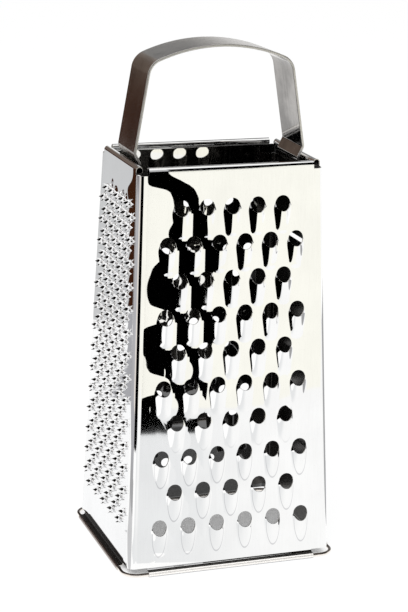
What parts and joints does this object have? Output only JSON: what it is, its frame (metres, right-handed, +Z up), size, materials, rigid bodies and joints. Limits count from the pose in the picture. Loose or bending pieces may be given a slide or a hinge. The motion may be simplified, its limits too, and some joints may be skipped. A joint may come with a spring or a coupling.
{
  "type": "box grater",
  "caption": "Four-sided box grater: tapered pressed steel body with four cutting faces, rolled rims, wired base hem and an arched strap handle.",
  "frame": {"origin": "middle of the footprint, on the surface the grater stands on", "axes": "+Z up; the coarse face looks along -Y, the fine face along -X, the medium face along +Y and the slicing face along +X; the handle strap spans X"},
  "size_m": [0.106, 0.0892, 0.24],
  "materials": {
    "polished_sheet": "polished stainless sheet",
    "bright_wire": "bright drawn wire",
    "satin_strap": "satin strip, brushed along its length"
  },
  "bodies": {
    "root": {"front_panel": "polished_sheet", "left_panel": "polished_sheet", "back_panel": "polished_sheet", "right_panel": "polished_sheet", "base_wire": "bright_wire", "handle_strap": "satin_strap"}
  },
  "joints": []
}
